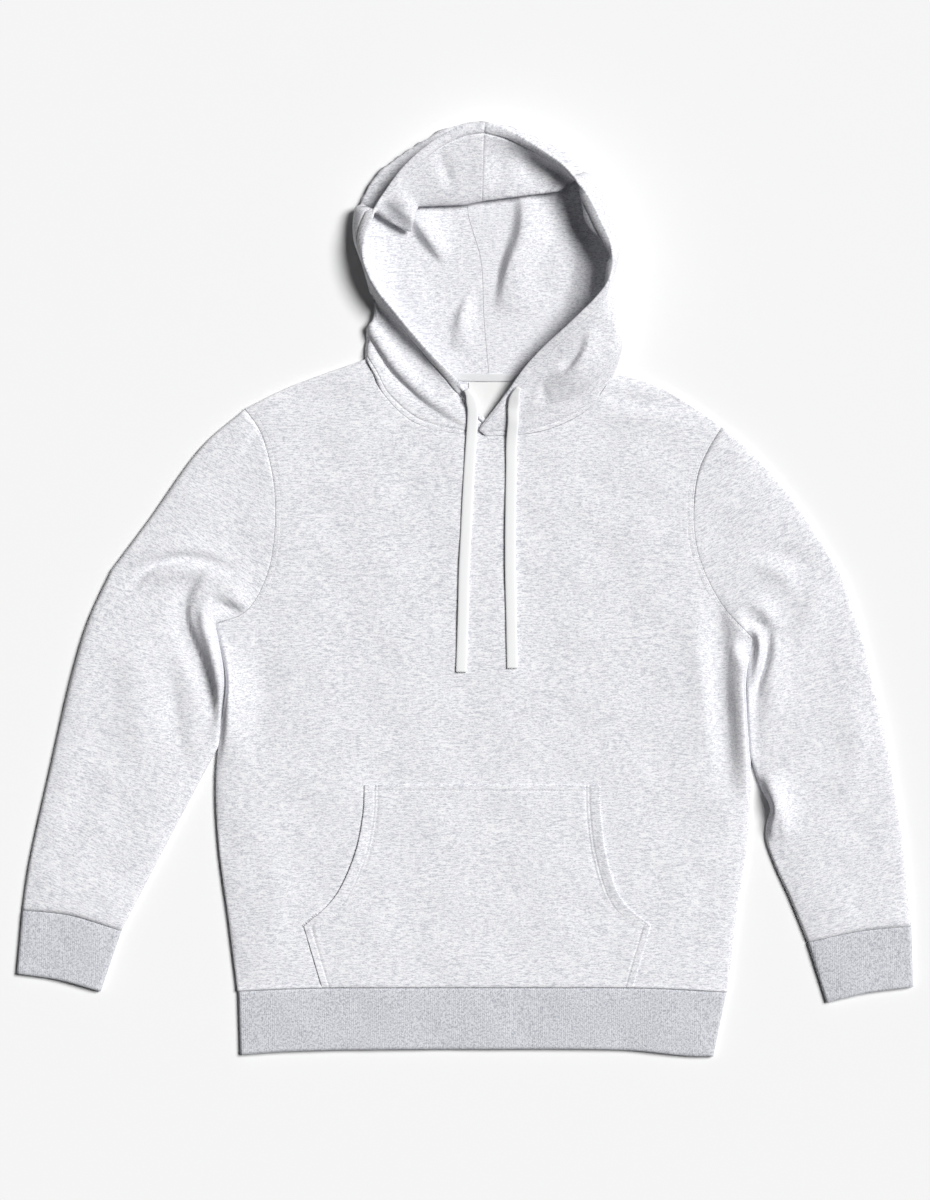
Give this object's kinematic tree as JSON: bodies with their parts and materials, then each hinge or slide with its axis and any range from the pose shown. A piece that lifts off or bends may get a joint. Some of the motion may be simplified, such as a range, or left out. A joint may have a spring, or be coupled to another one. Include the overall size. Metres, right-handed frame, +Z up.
{
  "type": "pullover hoodie",
  "caption": "Pullover hoodie in heather grey fleece with a kangaroo pocket, rib cuffs and hem and flat drawstrings, laid out flat on its back.",
  "frame": {"origin": "on the surface it lies on, under the middle of its bounding box", "axes": "+Z up off the surface, +Y from the hem towards the hood, +X to the right as it is looked down on, which is towards the wearer's left sleeve"},
  "size_m": [0.95, 0.9906, 0.0517],
  "materials": {
    "fleece": "heather grey brushed-back fleece, matt, fine jersey face with short streaks of light and dark fibre",
    "rib": "heather grey rib knit, folded double, matt, fine wales",
    "cord": "flat braided cotton cord, matt",
    "tape": "herringbone neck tape, matt",
    "label": "blank woven satin label, slight sheen"
  },
  "bodies": {
    "root": {"back_panel": "fleece", "front_panel": "fleece", "sleeve_left": "fleece", "sleeve_right": "fleece", "cuff_left": "rib", "cuff_right": "rib", "waistband": "rib", "pocket": "fleece", "hood_left": "fleece", "hood_right": "fleece", "neck_tape": "tape", "label": "label", "drawstring_left": "cord", "drawstring_right": "cord"}
  },
  "joints": []
}
